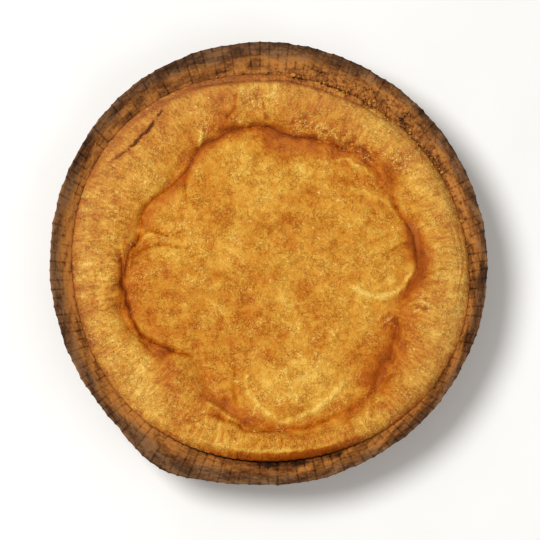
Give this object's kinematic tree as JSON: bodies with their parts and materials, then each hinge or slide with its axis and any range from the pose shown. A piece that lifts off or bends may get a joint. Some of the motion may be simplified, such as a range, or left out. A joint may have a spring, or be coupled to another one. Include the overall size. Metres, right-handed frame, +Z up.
{
  "type": "basque cake",
  "caption": "Round golden baked cake with a puffed outer ring and a sunken creased middle, whole in its flared pleated brown paper case.",
  "frame": {"origin": "on the surface the case stands on, under the middle of the case's rim", "axes": "+Z up out of the cake's top, -Y towards the front of the cake as it is shown, +X to its right"},
  "size_m": [0.2074, 0.2135, 0.032],
  "materials": {
    "baked_crust": "satin",
    "brown_paper": "matte"
  },
  "bodies": {
    "root": {"cake": "baked_crust", "baking_case": "brown_paper"}
  },
  "joints": []
}
